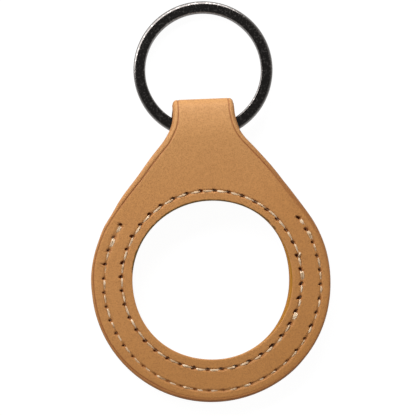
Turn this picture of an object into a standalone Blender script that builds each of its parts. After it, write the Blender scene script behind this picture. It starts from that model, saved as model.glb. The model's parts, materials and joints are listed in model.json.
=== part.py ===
# Leather medallion holder on a split key ring.
# One strip of leather is folded round the ring, and its two halves are sewn together around a
# round window that holds a medallion by its rim. Units are metres, +Z is up.
# The object lies on its back: the loop round the ring and the far edge of the body touch the
# ground, and so does the ring's far side. Leather and threads are placed in the body's own frame,
# the empty "holder": X across, Y from the body's centre towards the ring, Z out of the front,
# with Z = 0 between the two halves.

import math

import bmesh
import bpy
from mathutils import Matrix

# Outline of the leather, seen from the front
BODY_RADIUS = 0.0241
WINDOW_RADIUS = 0.0160
WINDOW_OFFSET = 0.0004  # of the window towards the ring, from the body's centre
TAB_WIDTH = 0.0123
TAB_LENGTH = 0.00232  # from the waist of the neck to the end of the fold
NECK_RADIUS = 0.0095
SHOULDER_RADIUS = 0.0975
SHOULDER_START_DEG = 31.64  # where the shoulder leaves the body's circle

# Section of the leather
LEATHER_THICKNESS = 0.0017
FOLD_THICKNESS = 0.0012  # the strip is thinned where it folds over the ring
LAYER_GAP = 0.0002
EDGE_ROUNDING = 0.0002
FOLD_INNER_RADIUS = 0.0015
FRONT_ROLL_RADIUS = 0.0180  # the front rolls down towards the fold
FRONT_ROLL_LENGTH = 0.00791
CROTCH_ABOVE_ROW = 0.0022  # the halves part here, above the inner row of stitches
REAR_BEND_RADIUS = 0.0032

# Stitching
INNER_ROW_MARGIN = 0.00215  # from the window's edge
OUTER_ROW_MARGIN = 0.00225  # from the body's edge
INNER_ROW_START_DEG = 94.5  # half a stitch past the middle of the top
OUTER_ROW_DEG = 250.0
STITCH_PITCH = 0.00285
THREAD_DIAMETER = 0.0005
THREAD_CLEARANCE = 0.0001
CHANNEL_DEPTH = 0.00055
INTERLOCK_GAP = 0.0003  # between the two threads of a row, inside the leather

# Split ring
RING_DIAMETER = 0.0280
RING_BAND = 0.0023
WIRE_THICKNESS = 0.00085
WIRE_ROUNDING = 0.00025
TURN_GAP = 0.0001
JOGGLE_DEG = 22.0  # the wire steps up to its second turn over this angle
JOGGLE_STEPS = 6
WIRE_END_GAP = 0.0003

# The ring in its loop
PIVOT_BELOW_FOLD = 0.00585
SWING_CLEARANCE = 0.00015
MOUTH_FLARE = 0.4  # how fast the loop's two mouths widen
MOUTH_LENGTH = 0.0024

CHORD_ERROR = 0.00003  # how far a flat side may cut inside the true arc
CUTTER_OVERRUN = 0.002  # how far a cutter runs past what it cuts

HALF_THICKNESS = LEATHER_THICKNESS + LAYER_GAP / 2
HALF_TAB = TAB_WIDTH / 2
BODY_CENTRE = (0.0, 0.0)
WINDOW_CENTRE = (0.0, WINDOW_OFFSET)
INNER_ROW_RADIUS = WINDOW_RADIUS + INNER_ROW_MARGIN
OUTER_ROW_RADIUS = BODY_RADIUS - OUTER_ROW_MARGIN
THREAD_RADIUS = THREAD_DIAMETER / 2
LEG_OFFSET = THREAD_RADIUS + THREAD_CLEARANCE  # of a thread's leg from the middle of its hole
SLOT_WIDTH = THREAD_DIAMETER + 2 * THREAD_CLEARANCE
SLOT_LENGTH = SLOT_WIDTH + 2 * LEG_OFFSET
CHANNEL_WIDTH = SLOT_WIDTH + 2 * THREAD_CLEARANCE
CHANNEL_FLOOR = HALF_THICKNESS - CHANNEL_DEPTH
RING_OUTER = RING_DIAMETER / 2
RING_INNER = RING_OUTER - RING_BAND
RING_HALF_THICKNESS = WIRE_THICKNESS + TURN_GAP / 2


def point_at(centre, radius, degrees):
    angle = math.radians(degrees)
    return centre[0] + radius * math.cos(angle), centre[1] + radius * math.sin(angle)


def heading(start, end):
    return math.degrees(math.atan2(end[1] - start[1], end[0] - start[0]))


def steps(start, end, count):
    """Evenly spaced values from start to end, both included."""
    return [start + (end - start) * i / count for i in range(count + 1)]


def arc_angles(radius, start, end):
    """Angles along an arc, close enough together for the chord error, both ends included."""
    step = math.degrees(2 * math.acos(1 - CHORD_ERROR / radius))
    return steps(start, end, max(1, math.ceil(abs(end - start) / step)))


def arc(centre, radius, start, end):
    return [point_at(centre, radius, degrees) for degrees in arc_angles(radius, start, end)]


def circle(centre, radius):
    return arc(centre, radius, 0, 360)[:-1]


# The outline: body circle, shoulder arc, neck arc and the sides of the tab

SHOULDER_CENTRE = point_at(BODY_CENTRE, BODY_RADIUS - SHOULDER_RADIUS, SHOULDER_START_DEG)
NECK_X = HALF_TAB + NECK_RADIUS
NECK_Y = SHOULDER_CENTRE[1] + math.sqrt(
    (SHOULDER_RADIUS + NECK_RADIUS) ** 2 - (NECK_X - SHOULDER_CENTRE[0]) ** 2
)
FOLD_END = NECK_Y + TAB_LENGTH


def holder_outline():
    into_neck = heading(SHOULDER_CENTRE, (NECK_X, NECK_Y))
    right = arc(BODY_CENTRE, BODY_RADIUS, -90, SHOULDER_START_DEG)
    right += arc(SHOULDER_CENTRE, SHOULDER_RADIUS, SHOULDER_START_DEG, into_neck)[1:]
    right += arc((NECK_X, NECK_Y), NECK_RADIUS, into_neck + 180, 180)[1:]
    right.append((HALF_TAB, FOLD_END + CUTTER_OVERRUN))
    return right + [(-x, y) for x, y in reversed(right[1:])]


# The section through the loop, in (y, z)

ROLL_CENTRE = (FOLD_END - FRONT_ROLL_LENGTH, HALF_THICKNESS - FRONT_ROLL_RADIUS)


def under_the_roll(y, radius):
    """Centre, at y, of a circle that touches the front's roll from inside."""
    reach = FRONT_ROLL_RADIUS - radius
    return y, ROLL_CENTRE[1] + math.sqrt(reach**2 - (y - ROLL_CENTRE[0]) ** 2)


# The part of the ring inside the loop reaches from the ring's outer edge to where its inner edge
# leaves the loop's mouths. The ring swings about the middle of that part.
PIVOT_Y = FOLD_END - PIVOT_BELOW_FOLD
HALF_MOUTH = NECK_X - math.sqrt(NECK_RADIUS**2 - (NECK_Y - PIVOT_Y) ** 2)
RING_CHORD = math.sqrt(RING_INNER**2 - HALF_MOUTH**2)
PIVOT_TO_RING = (RING_OUTER + RING_CHORD) / 2
SWING_RADIUS = math.hypot((RING_OUTER - RING_CHORD) / 2, RING_HALF_THICKNESS) + SWING_CLEARANCE
LOOP_RADIUS = SWING_RADIUS + FOLD_THICKNESS
FOLD_RADIUS = FOLD_INNER_RADIUS + FOLD_THICKNESS
FOLD_CENTRE = under_the_roll(FOLD_END - FOLD_RADIUS, FOLD_RADIUS)
PIVOT = under_the_roll(PIVOT_Y, LOOP_RADIUS)
CROTCH = WINDOW_OFFSET + INNER_ROW_RADIUS + CROTCH_ABOVE_ROW


def loop_arcs(inset, foot):
    """The front's roll, the fold and the rear round the ring, up to where the rear leaves for foot.

    inset is the depth of the line under the leather's outer surface.
    """
    into_fold = heading(ROLL_CENTRE, FOLD_CENTRE)
    apart = math.dist(FOLD_CENTRE, PIVOT)
    lean = math.degrees(math.acos((FOLD_RADIUS - LOOP_RADIUS) / apart))
    off_fold = (heading(FOLD_CENTRE, PIVOT) + lean) % 360 - 360
    radius = LOOP_RADIUS - inset
    turn = math.degrees(math.acos(radius / math.dist(PIVOT, foot)))
    off_loop = (heading(PIVOT, foot) + turn) % 360 - 360
    points = arc(ROLL_CENTRE, FRONT_ROLL_RADIUS - inset, 90, into_fold)
    points += arc(FOLD_CENTRE, FOLD_RADIUS - inset, into_fold, off_fold)[1:]
    return points + arc(PIVOT, radius, off_fold, off_loop)


def outer_section():
    """The outer surface of the folded strip, with the body's two flat faces."""
    foot = (CROTCH, -HALF_THICKNESS)
    points = loop_arcs(0, foot)
    slope = -heading(foot, points[-1])
    start = foot[0] - REAR_BEND_RADIUS * math.tan(math.radians(slope) / 2)
    bend = arc((start, foot[1] - REAR_BEND_RADIUS), REAR_BEND_RADIUS, 90 - slope, 90)
    end = -BODY_RADIUS - CUTTER_OVERRUN
    return [(end, HALF_THICKNESS)] + points + bend + [(end, -HALF_THICKNESS)]


def inner_section():
    """The space between the halves: a narrow gap that opens into the loop for the ring."""
    half_gap = LAYER_GAP / 2
    end = -BODY_RADIUS - 2 * CUTTER_OVERRUN
    points = loop_arcs(FOLD_THICKNESS, (CROTCH, -half_gap))
    return [(end, half_gap), (CROTCH, half_gap)] + points + [(CROTCH, -half_gap), (end, -half_gap)]


# The stitch rows: centre and radius of the row, and the angles of its holes seen from that centre

def row_angles(radius, start, extent):
    count = round(math.radians(extent) * radius / STITCH_PITCH)
    return steps(start, start + extent, count)


INNER_ROW = (
    WINDOW_CENTRE,
    INNER_ROW_RADIUS,
    row_angles(INNER_ROW_RADIUS, INNER_ROW_START_DEG, 360),
)
OUTER_ROW = (
    BODY_CENTRE,
    OUTER_ROW_RADIUS,
    row_angles(OUTER_ROW_RADIUS, 270 - OUTER_ROW_DEG / 2, OUTER_ROW_DEG),
)


def slot_outline(centre, radius, degrees):
    """Four corners of a stitch hole that lies along its row."""
    angle = math.radians(degrees)
    out = (math.cos(angle), math.sin(angle))
    corners = ((-1, -1), (1, -1), (1, 1), (-1, 1))
    points = []
    for along, across in corners:
        r = radius + across * SLOT_WIDTH / 2
        s = along * SLOT_LENGTH / 2
        points.append((centre[0] + r * out[0] - s * out[1], centre[1] + r * out[1] + s * out[0]))
    return points


def channel_outlines():
    """The inner row's channel is a full ring, and the outer row's ends just past its end holes."""
    half = CHANNEL_WIDTH / 2
    past = math.degrees((SLOT_LENGTH / 2 + THREAD_CLEARANCE) / OUTER_ROW_RADIUS)
    start, end = OUTER_ROW[2][0] - past, OUTER_ROW[2][-1] + past
    outer = arc(BODY_CENTRE, OUTER_ROW_RADIUS + half, start, end)
    outer += arc(BODY_CENTRE, OUTER_ROW_RADIUS - half, end, start)
    inner = [circle(WINDOW_CENTRE, INNER_ROW_RADIUS + side) for side in (-half, half)]
    return inner + [outer]


def collection(name):
    made = bpy.data.collections.new(name)
    bpy.context.scene.collection.children.link(made)
    return made


def material(name, colour, roughness, metallic=0.0):
    made = bpy.data.materials.new(name)
    made.use_nodes = True
    shader = made.node_tree.nodes["Principled BSDF"]
    shader.inputs["Base Color"].default_value = (*colour, 1.0)
    shader.inputs["Roughness"].default_value = roughness
    shader.inputs["Metallic"].default_value = metallic
    made.diffuse_color = (*colour, 1.0)
    return made


def add_object(name, data, where, parent=None):
    made = bpy.data.objects.new(name, data)
    made.parent = parent
    where.objects.link(made)
    return made


def extruded(name, outlines, depth, turned=Matrix(), offset=0.0):
    """A mesh of closed outlines filled and extruded, centred on the plane z = offset, then turned."""
    curve = bpy.data.curves.new(name, "CURVE")
    curve.dimensions = "2D"
    curve.fill_mode = "BOTH"
    curve.extrude = depth / 2
    for outline in outlines:
        spline = curve.splines.new("POLY")
        spline.points.add(len(outline) - 1)
        for place, (x, y) in zip(spline.points, outline):
            place.co = (x, y, 0, 1)
        spline.use_cyclic_u = True
    helper = add_object(name, curve, bpy.context.scene.collection)
    graph = bpy.context.evaluated_depsgraph_get()
    mesh = bpy.data.meshes.new_from_object(helper.evaluated_get(graph))
    bpy.data.objects.remove(helper)
    mesh.transform(turned @ Matrix.Translation((0, 0, offset)))
    shape = bmesh.new()
    shape.from_mesh(mesh)
    bmesh.ops.remove_doubles(shape, verts=shape.verts, dist=1e-6)
    bmesh.ops.recalc_face_normals(shape, faces=shape.faces)
    shape.to_mesh(mesh)
    shape.free()
    mesh.name = name
    return mesh


# Turns a section drawn in (y, z) upright, so that it is extruded along X
ACROSS = Matrix(((0, 0, 1, 0), (1, 0, 0, 0), (0, 1, 0, 0), (0, 0, 0, 1)))


def mouth_mesh():
    """Two cones on the ring's axis that open the loop's mouths."""
    shape = bmesh.new()
    for side in (-1, 1):
        middle = side * (HALF_TAB + MOUTH_LENGTH / 2)
        bmesh.ops.create_cone(
            shape,
            cap_ends=True,
            segments=len(circle(PIVOT, SWING_RADIUS)),
            radius1=SWING_RADIUS,
            radius2=SWING_RADIUS + MOUTH_FLARE * MOUTH_LENGTH,
            depth=MOUTH_LENGTH,
            matrix=Matrix.Translation((middle, *PIVOT)) @ Matrix.Rotation(side * math.pi / 2, 4, "Y"),
        )
    mesh = bpy.data.meshes.new("mouths")
    shape.to_mesh(mesh)
    shape.free()
    return mesh


def add_cutter(name, mesh, where, parent):
    cutter = add_object(name, mesh, where, parent)
    cutter.hide_render = True
    cutter.display_type = "WIRE"
    return cutter


def add_boolean(target, operation, cutter):
    modifier = target.modifiers.new(cutter.name, "BOOLEAN")
    modifier.operation = operation
    modifier.object = cutter


def add_leather(parts, cutters, holder):
    """The folded strip, cut to its outline, rounded, then parted, channelled and punched."""
    width = 2 * (BODY_RADIUS + CUTTER_OVERRUN)
    height = 2 * (HALF_THICKNESS + 2 * LOOP_RADIUS)
    leather = add_object(
        "leather_holder", extruded("folded_strip", [outer_section()], width, ACROSS), parts, holder
    )
    outline = extruded("outline_mesh", [holder_outline(), circle(WINDOW_CENTRE, WINDOW_RADIUS)], height)
    add_boolean(leather, "INTERSECT", add_cutter("outline", outline, cutters, holder))
    edges = leather.modifiers.new("edges", "BEVEL")
    edges.width = EDGE_ROUNDING
    edges.segments = 2
    edges.limit_method = "ANGLE"
    edges.angle_limit = math.radians(45)
    parting = extruded("parting_mesh", [inner_section()], width + CUTTER_OVERRUN, ACROSS)
    add_boolean(leather, "DIFFERENCE", add_cutter("parting", parting, cutters, holder))
    add_boolean(leather, "DIFFERENCE", add_cutter("mouths", mouth_mesh(), cutters, holder))
    for side, sign in (("front", 1), ("rear", -1)):
        middle = sign * (CHANNEL_FLOOR + CUTTER_OVERRUN / 2)
        channel = extruded(f"{side}_channel", channel_outlines(), CUTTER_OVERRUN, offset=middle)
        cutter = add_cutter(f"{side}_stitch_channel", channel, cutters, holder)
        add_boolean(leather, "DIFFERENCE", cutter)
    holes_of = (INNER_ROW[0], INNER_ROW[1], INNER_ROW[2][:-1]), OUTER_ROW
    slots = [slot_outline(centre, radius, degrees) for centre, radius, row in holes_of for degrees in row]
    holes = extruded("hole_mesh", slots, 2 * HALF_THICKNESS + CUTTER_OVERRUN)
    add_boolean(leather, "DIFFERENCE", add_cutter("stitch_holes", holes, cutters, holder))
    leather.data.materials.append(material("tan_leather", (0.50, 0.24, 0.088), 0.6))
    return leather


def thread_path(row, sign):
    """One thread of a row: along the face between holes, and down and up again in each hole."""
    centre, radius, angles = row
    leg = math.degrees(LEG_OFFSET / radius)
    low = sign * (INTERLOCK_GAP / 2 + THREAD_RADIUS)
    high = sign * (CHANNEL_FLOOR + THREAD_CLEARANCE + THREAD_RADIUS)
    points = []
    for first, second in zip(angles, angles[1:]):
        leave, enter = first + leg, second - leg
        stops = ((leave, low), (leave, high), ((leave + enter) / 2, high), (enter, high), (enter, low))
        points += [(*point_at(centre, radius, degrees), z) for degrees, z in stops]
    return points


def wire_curve(name, points):
    curve = bpy.data.curves.new(name, "CURVE")
    curve.dimensions = "3D"
    curve.use_fill_caps = True
    spline = curve.splines.new("POLY")
    spline.points.add(len(points) - 1)
    for place, point in zip(spline.points, points):
        place.co = (*point, 1)
    return curve


def add_threads(parts, holder):
    linen = material("cream_thread", (0.80, 0.70, 0.52), 0.7)
    for row_name, row in (("window_row", INNER_ROW), ("edge_row", OUTER_ROW)):
        for thread_name, sign in (("needle_thread", 1), ("bobbin_thread", -1)):
            curve = wire_curve(thread_name, thread_path(row, sign))
            curve.bevel_depth = THREAD_RADIUS
            curve.bevel_resolution = 0
            curve.materials.append(linen)
            add_object(f"{row_name}_{thread_name}", curve, parts, holder)


def ring_path():
    """Centre line of the wire, from its lower end through the joggle to its upper end.

    Its origin is on the joint's axis, and the ring lies towards +Y with the joggle in the loop.
    """
    radius = (RING_OUTER + RING_INNER) / 2
    level = (WIRE_THICKNESS + TURN_GAP) / 2
    end_gap = math.degrees(WIRE_END_GAP / radius)
    turn = 360 - JOGGLE_DEG
    angles = arc_angles(RING_OUTER, end_gap, turn)
    angles += steps(turn, 360, JOGGLE_STEPS)[1:]
    angles += arc_angles(RING_OUTER, 360, 360 + turn - end_gap)[1:]
    path = []
    for along in angles:
        rise = min(1, max(0, (along - turn) / JOGGLE_DEG))
        rise = rise * rise * (3 - 2 * rise)
        x, y = point_at((0, PIVOT_TO_RING), radius, along - 90 + JOGGLE_DEG / 2)
        path.append((x, y, level * (2 * rise - 1)))
    return path


def add_ring(parts, cutters):
    """A flat wire wound two turns, swept from its rounded section."""
    half_band, half_wire = RING_BAND / 2, WIRE_THICKNESS / 2
    flat_band, flat_wire = half_band - WIRE_ROUNDING, half_wire - WIRE_ROUNDING
    upper = [(half_band, flat_wire), (flat_band, half_wire), (-flat_band, half_wire), (-half_band, flat_wire)]
    section = bpy.data.curves.new("wire_section", "CURVE")
    section.dimensions = "2D"
    outline = section.splines.new("POLY")
    outline.points.add(7)
    for place, (x, y) in zip(outline.points, reversed(upper + [(-x, -y) for x, y in upper])):
        place.co = (x, y, 0, 1)
    outline.use_cyclic_u = True
    guide = add_cutter("wire_section", section, cutters, None)
    curve = wire_curve("split_ring", ring_path())
    curve.twist_mode = "Z_UP"
    curve.bevel_mode = "OBJECT"
    curve.bevel_object = guide
    curve.materials.append(material("black_nickel", (0.035, 0.032, 0.032), 0.3, 1.0))
    return add_object("split_ring", curve, parts)


def place_at_rest(holder, ring):
    """Leans the holder on its loop and its far edge, and lays the ring's far side on the ground."""
    rear_edge = (EDGE_ROUNDING - BODY_RADIUS, -HALF_THICKNESS)
    apart = math.dist(rear_edge, PIVOT)
    lean = math.asin(LOOP_RADIUS / apart) - math.radians(heading(rear_edge, PIVOT))
    pivot_y = PIVOT[0] * math.cos(lean) - PIVOT[1] * math.sin(lean)
    pivot_z = PIVOT[0] * math.sin(lean) + PIVOT[1] * math.cos(lean)
    far_edge = PIVOT_TO_RING + RING_OUTER - WIRE_ROUNDING
    droop = math.asin(LOOP_RADIUS / math.hypot(far_edge, RING_HALF_THICKNESS))
    droop -= math.atan2(RING_HALF_THICKNESS, far_edge)
    nearest = -BODY_RADIUS * math.cos(lean) - (HALF_THICKNESS - EDGE_ROUNDING) * math.sin(lean)
    farthest = pivot_y + (PIVOT_TO_RING + RING_OUTER) * math.cos(droop)
    middle = (nearest + farthest) / 2
    holder.location = (0, -middle, LOOP_RADIUS - pivot_z)
    holder.rotation_euler = (lean, 0, 0)
    ring.location = (0, pivot_y - middle, LOOP_RADIUS)
    ring.rotation_euler = (-droop, 0, 0)
    print(f"lean {math.degrees(lean):.3f} deg, droop {math.degrees(droop):.3f} deg")
    print(f"ring joint at {tuple(round(c, 6) for c in ring.location)}, holder {holder.location[:]}")


def main():
    for old in list(bpy.data.objects):
        bpy.data.objects.remove(old)
    parts = collection("medallion_holder")
    cutters = collection("cutters")
    holder = add_object("holder", None, parts)
    add_leather(parts, cutters, holder)
    add_threads(parts, holder)
    ring = add_ring(parts, cutters)
    place_at_rest(holder, ring)


main()
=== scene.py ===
import json
import math
import random

import bmesh
import bpy
from mathutils import Matrix, Vector, noise


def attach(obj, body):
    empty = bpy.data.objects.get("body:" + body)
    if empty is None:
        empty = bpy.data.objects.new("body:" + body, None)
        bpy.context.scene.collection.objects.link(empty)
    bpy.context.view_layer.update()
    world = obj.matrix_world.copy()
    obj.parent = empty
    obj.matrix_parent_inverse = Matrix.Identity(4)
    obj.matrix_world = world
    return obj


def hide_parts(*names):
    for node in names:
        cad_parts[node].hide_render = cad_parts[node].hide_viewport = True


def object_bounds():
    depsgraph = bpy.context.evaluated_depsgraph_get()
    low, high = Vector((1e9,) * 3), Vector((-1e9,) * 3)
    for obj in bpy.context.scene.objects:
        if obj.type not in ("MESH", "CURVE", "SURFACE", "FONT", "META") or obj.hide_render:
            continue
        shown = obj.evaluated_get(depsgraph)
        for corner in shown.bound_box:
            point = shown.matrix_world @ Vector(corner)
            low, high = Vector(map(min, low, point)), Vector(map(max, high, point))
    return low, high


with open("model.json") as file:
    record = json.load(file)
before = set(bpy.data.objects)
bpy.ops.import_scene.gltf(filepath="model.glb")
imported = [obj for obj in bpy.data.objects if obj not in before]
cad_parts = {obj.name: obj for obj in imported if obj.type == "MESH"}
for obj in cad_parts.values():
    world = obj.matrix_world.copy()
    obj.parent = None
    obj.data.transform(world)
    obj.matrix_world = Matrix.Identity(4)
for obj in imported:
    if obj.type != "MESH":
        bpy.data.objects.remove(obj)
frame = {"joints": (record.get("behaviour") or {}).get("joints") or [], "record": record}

cadBox = [list(corner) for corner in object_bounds()]

# Shapes are in millimetres, in the holder's own frame: X across, Y from the body's middle to the
# key ring, Z out of the front, with 0 between the two layers of leather. Directions are degrees
# from X towards Y, and in the strip's section from Y towards Z.

holder = {
    "bodyRadius": 24.1,
    "shoulderRadius": 97.5,
    "shoulderFromDeg": 31.64,
    "neckRadius": 9.5,
    "tabHalf": 6.15,
    "waistToFold": 2.32,
    "layer": 1.7,
    "foldLayer": 1.2,
    "gap": 0.2,
    "foldInside": 1.5,
    "rollRadius": 18.0,
    "rollLength": 7.91,
    "crotch": 20.75,  # where the two halves part
    "rearBend": 3.2,
    "bendMargin": 2.0,  # how far below the crotch the bend is felt
    "mountHeight": 24.0,  # of the mount on the front face
    "windowRadius": 16.08,
    "windowRise": 0.43,  # the window sits above the body's middle
    "riseEnds": (18.9, 21.0),  # and the mesh's rings with it, less and less between these distances
    "windowAside": 0.12,  # the window is further off than its row
    "windowOval": 0.24,  # and is longer from its lower left to its upper right
    "windowEnds": 17.2,  # the distance from which its own shape is no longer felt
    "windowRounding": 0.25,
    "rearDown": 0.39,  # the rear's window is lower and larger, but reaches in on its right
    "rearGrow": 0.14,
    "rearLip": (0.62, -4.0),  # how far, and in which direction most
    "frontGive": (0.17, -32.0),  # and there the front's window is wider
    "lipPower": 4,  # the higher, the narrower these two are
    "lipFade": (0.3, 0.8),  # cosines between which the lip turns brown with painted shade of the seam
    # how strong the painted shade's spots on the lip are
    "lipShadeSpots": 0.5,
    "rimDark": (0.75, 120.0),  # how dark the painted shade on the front's rim is, and in which direction most
    "rimFade": (-0.2, 0.4),  # cosines from that direction between which it darkens
    "rimUpper": (-0.05, 0.25),  # and sines
    "rimWide": (0.2, 0.5),
    "edgeDrop": (0.45, 1.05),  # how far the rounded edge falls, on the body and at the fold
    "dropHeights": (22, 34),
    "roundedShare": 0.88,  # of the way from the edge to the crease
    "creaseDepth": 0.11,
    "creaseHalf": 0.13,
    "tabTan": (0.4, 24, 30),  # how much of that way stays tan on the tab, in full from the second height
    "brownWide": 0.5,
    "wallBrown": 0.8,
    "rowShift": 0.22,  # the window and its row are a little off to the right
    "shift": {1: (0.32, -0.19), -1: (0.12, -0.43)},  # and so are the edges of the two layers
    "shiftFrom": (19.4, 21.4),  # between these distances
    "foldShift": -0.15,
    "bulge": 0.06,  # of the cut edges
    "mouth": (0.9, 0.75),  # how far in the loop's inner corners are pared, and how much of the edge goes
    "mouthStations": 4,
    "wave": 0.06,
    "waveLength": 11.0,
    "waveSeed": 3.7,
    "waveStations": 12,
    "paintedLightHeights": ((-22, 0), (14, 36)),  # painted light and shade: paler up to the body's middle and again up the tab and fold, deeper towards the far edge
    "paintedShadeRight": (0.2, 7, 20),  # and painted shade deeper on the right, by how much and between which places
    "columns": 720,
    "tabFromDeg": 65.5,  # the tab's own mesh starts at this angle
    "stations": (6, 9, 14, 16, 8),  # of the tab's mesh, on the front, roll, fold, loop and rear
    "merge": 0.004,
}

# Up the left (-1) and the right (1) edge: the height, how far the creased line is from the edge, how
# brown the edge is (burnish, with painted shade added on the right and at the bottom) and how strong the
# line is
edges = {
    -1: (
        (-24, 0.72, 1.0, 0.5),
        (-20.5, 0.72, 0.65, 1.0),
        (-16, 0.6, 0.5, 0.9),
        (-11, 0.46, 0.4, 0.9),
        (0, 0.52, 0.25, 0.8),
        (7, 0.4, 0.3, 0.7),
        (14, 0.5, 0.25, 0.6),
        (18, 0.85, 0.15, 1.0),
        (24, 1.0, 0.15, 1.0),
        (29, 1.05, 0.3, 0.9),
        (37, 1.15, 0.45, 0.8),
    ),
    1: (
        (-24, 0.72, 1.0, 0.5),
        (-19, 0.55, 1.0, 0.3),
        (-12, 0.5, 0.8, 0.2),
        (0, 0.5, 0.45, 0.15),
        (7, 0.55, 0.6, 0.3),
        (13, 0.65, 0.8, 0.4),
        (20, 0.7, 0.8, 0.6),
        (25, 0.75, 0.5, 1.0),
        (29, 0.8, 0.4, 0.9),
        (37, 1.0, 0.45, 0.8),
    ),
}

# How much smaller than the outline the front (1) and the rear (-1) are, up the left and the right edge
trims = {
    (1, -1): (
        (-24, -0.04),
        (-22, -0.14),
        (-17, -0.2),
        (-4, -0.2),
        (3, -0.35),
        (9, -0.3),
        (12, -0.42),
        (14.5, -0.34),
        (17, -0.42),
        (22, -0.2),
        (27, -0.4),
        (29.5, -0.5),
        (33, -0.2),
        (36, 0.0),
    ),
    (1, 1): (
        (-24, -0.04),
        (-17, 0.0),
        (0, 0.27),
        (8, 0.22),
        (12, 0.2),
        (19, 0.33),
        (24, 0.14),
        (28, 0.05),
        (30.5, 0.2),
        (33, 0.06),
        (37, 0.05),
    ),
    (-1, -1): ((-24, -0.12), (4, -0.12), (16, 0.0), (37, 0.0)),
    (-1, 1): ((-24, -0.12), (-18, -0.22), (-13, -0.12), (-4, 0.1), (8, 0.12), (16, 0.0), (37, 0.0)),
}

# The two sewn rows: the doubled stitches by number, how dark the painted shade in the holes is, how far
# those at the bottom have closed, and the thread's loose ends by hole and direction
rows = {
    "window": {
        "radius": 18.15,
        "rise": 0.4,
        "start": 94.5,
        "extent": 360.0,
        "stitches": 40,
        "twice": (26, 29),
        "dark": 1.0,
        "shut": 0.0,
        "ends": ((31, -35.0),),
    },
    "edge": {
        "radius": 21.85,
        "rise": 0.0,
        "start": 145.0,
        "extent": 250.0,
        "stitches": 33,
        "twice": (0, 1, 31, 32),
        "dark": 0.74,
        "shut": 1.0,
        "ends": (),
    },
}

# What the stitches do to the leather, and how the thread lies
stitch = {
    "reach": 1.2,  # how far from its row the leather is pressed
    "groove": 0.2,
    "grooveHalf": 0.27,
    "grooveTwice": 1.6,  # how much wider it is under a doubled stitch
    "dimple": (0.2, 0.5),  # how much deeper it is at a hole, and how far along
    "pucker": 0.05,
    "puckerPlace": (2.0, 0.7),  # how far from the thread and how wide, in half grooves
    "holeDepth": 0.8,
    "hole": (0.4, 0.29),  # half length and half width of a slit
    "holeBrim": (0.5, 1.5),
    "holeSize": {"window": (0.8, 1.2), "edge": (0.55, 1.0)},
    "holeShade": 0.55,  # how dark the painted shade in the groove is at a hole
    "holeAside": (-0.15, 0.05),  # from the row's line to the holes
    "slitFollows": (0.15, 0.5),  # share of its row's turning that a slit takes, left and right
    "slitLoose": 16,  # degrees it is off by chance
    "rightLonger": 1.3,
    "shutFade": (0.45, 0.85),  # how far down, in the row's radius, the holes close
    "shutSmaller": 0.35,
    # closed holes get less painted shade
    "shutPaler": 0.45,
    "threadAside": (0.09, -0.03),
    "legs": (0.42, 0.6),  # from a hole's middle to where the thread comes up, and to where it goes down
    "legLonger": (0.35, -42.0),  # the second is longer at the lower right: by how much, and where most
    "legFade": (0.6, 0.85),  # cosines from there
    "threadRadius": 0.23,
    "plies": 3,
    "plyShare": 0.54,  # of the thread's radius
    "twist": 1.6,  # length of a full turn of the plies
    "step": 0.12,
    "arch": (0.5, 0.36),  # powers of a stitch's cosine and sine: the lower, the squarer it is
    "archSteps": 24,
    "sway": 0.09,  # how far a slack stitch bows out
    "top": -0.03,  # height of the thread's middle over the leather, and in the holes
    "low": -0.8,
    "tail": 0.26,  # how much lower a stitch's lower end is
    "tailFrom": 0.2,
    "sunk": {"window": (0.0, 0.1), "edge": (0.06, 0.2)},
    "beside": 0.17,  # from the row to each of the two threads of a doubled stitch
    "above": 0.04,  # and how much higher the outer one lies
    # a loose end: how far it reaches and how high it lies
    "end": ((0, -0.8), (0.03, -0.5), (0.1, -0.15), (0.25, 0.05), (0.45, 0.12), (0.7, 0.08), (0.85, 0.0)),
    "merge": 0.0005,
    "seed": 11,
}

front = next(m for m in frame["record"]["mounts"] if m["name"] == "front_face")
joint = frame["joints"][0]
lean = -math.asin(front["axis"][1])
halfThick = holder["layer"] + holder["gap"] / 2
toWorld = Matrix.Rotation(lean, 4, "X") @ Matrix.Scale(0.001, 4)
mountPoint = Vector((0, holder["mountHeight"], halfThick))
toWorld = Matrix.Translation(Vector(front["pos_m"]) - toWorld @ mountPoint) @ toWorld
pivot = toWorld.inverted() @ Vector(joint["pos_m"])
loopRadius = joint["pos_m"][2] * 1000  # the loop rests on the floor


def smooth(value, low=0.0, high=1.0):
    t = min(1.0, max(0.0, (value - low) / (high - low)))
    return t * t * (3 - 2 * t)


def heading(a, b):
    return math.degrees(math.atan2(b[1] - a[1], b[0] - a[0]))


def cosine(degrees):
    return math.cos(math.radians(degrees))


def sine(degrees):
    return math.sin(math.radians(degrees))


def onCircle(centre, radius, degrees):
    return centre[0] + radius * cosine(degrees), centre[1] + radius * sine(degrees)


def ray(degrees, distance):
    return onCircle((0, 0), distance, degrees)


# The leather's outline

shoulder = ray(holder["shoulderFromDeg"], holder["bodyRadius"] - holder["shoulderRadius"])
neckX = holder["tabHalf"] + holder["neckRadius"]
neckY = shoulder[1] + math.sqrt(
    (holder["shoulderRadius"] + holder["neckRadius"]) ** 2 - (neckX - shoulder[0]) ** 2
)
foldEnd = neckY + holder["waistToFold"]
shoulderTop = onCircle(shoulder, holder["shoulderRadius"], heading(shoulder, (neckX, neckY)))[1]


def outlineRadius(degrees):
    # how far the outline is from the body's middle, and how square the ray meets it
    x, y = abs(cosine(degrees)), sine(degrees)
    if math.degrees(math.atan2(y, x)) <= holder["shoulderFromDeg"]:
        return holder["bodyRadius"], 1.0
    along = shoulder[0] * x + shoulder[1] * y
    apart = shoulder[0] ** 2 + shoulder[1] ** 2
    far = along + math.sqrt(along * along - apart + holder["shoulderRadius"] ** 2)
    square = (x * (far * x - shoulder[0]) + y * (far * y - shoulder[1])) / holder["shoulderRadius"]
    return far, square


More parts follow.
